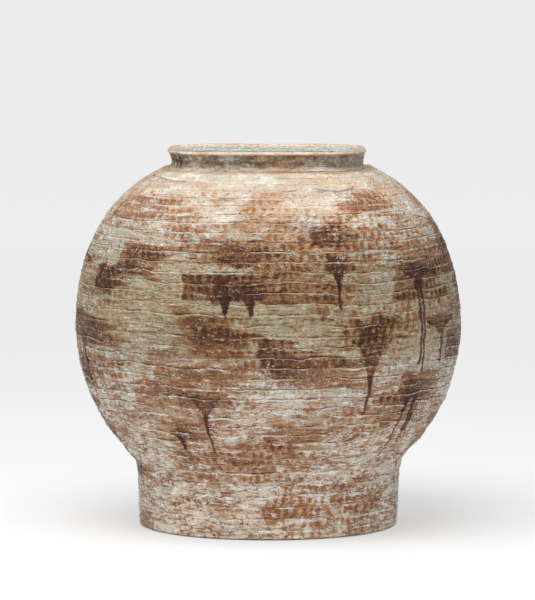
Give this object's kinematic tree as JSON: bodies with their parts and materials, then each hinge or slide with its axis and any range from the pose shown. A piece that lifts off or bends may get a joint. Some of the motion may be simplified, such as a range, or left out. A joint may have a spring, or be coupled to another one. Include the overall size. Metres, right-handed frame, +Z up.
{
  "type": "moon jar",
  "caption": "Globe-shaped coil-built moon jar on a straight round foot, with a low flared neck and an oblong mouth, in pale celadon glaze brushed with iron slip.",
  "frame": {"origin": "middle of the flat underside of the base", "axes": "+Z up through the mouth, -Y out of the broad front face, X along the long way of the mouth"},
  "size_m": [0.5112, 0.5112, 0.502],
  "materials": {
    "glazed_stoneware": "satin celadon glaze brushed with iron slip",
    "bare_stoneware": "unglazed fired clay"
  },
  "bodies": {
    "root": {"belly_coil_1": "glazed_stoneware", "belly_coil_10": "glazed_stoneware", "belly_coil_11": "glazed_stoneware", "belly_coil_12": "glazed_stoneware", "belly_coil_13": "glazed_stoneware", "belly_coil_14": "glazed_stoneware", "belly_coil_15": "glazed_stoneware", "belly_coil_16": "glazed_stoneware", "belly_coil_17": "glazed_stoneware", "belly_coil_18": "glazed_stoneware", "belly_coil_19": "glazed_stoneware", "belly_coil_2": "glazed_stoneware", "belly_coil_20": "glazed_stoneware", "belly_coil_21": "glazed_stoneware", "belly_coil_22": "glazed_stoneware", "belly_coil_23": "glazed_stoneware", "belly_coil_24": "glazed_stoneware", "belly_coil_25": "glazed_stoneware", "belly_coil_26": "glazed_stoneware", "belly_coil_27": "glazed_stoneware", "belly_coil_3": "glazed_stoneware", "belly_coil_4": "glazed_stoneware", "belly_coil_5": "glazed_stoneware", "belly_coil_6": "glazed_stoneware", "belly_coil_7": "glazed_stoneware", "belly_coil_8": "glazed_stoneware", "belly_coil_9": "glazed_stoneware", "floor_slab": "bare_stoneware", "foot_coil_1": "glazed_stoneware", "foot_coil_2": "glazed_stoneware", "foot_coil_3": "glazed_stoneware", "foot_coil_4": "glazed_stoneware", "foot_coil_5": "glazed_stoneware", "lip_coil": "glazed_stoneware", "neck_band": "glazed_stoneware", "shoulder_coil_1": "glazed_stoneware", "shoulder_coil_2": "glazed_stoneware", "shoulder_coil_3": "glazed_stoneware", "shoulder_coil_4": "glazed_stoneware", "shoulder_coil_5": "glazed_stoneware", "shoulder_coil_6": "glazed_stoneware"}
  },
  "joints": []
}
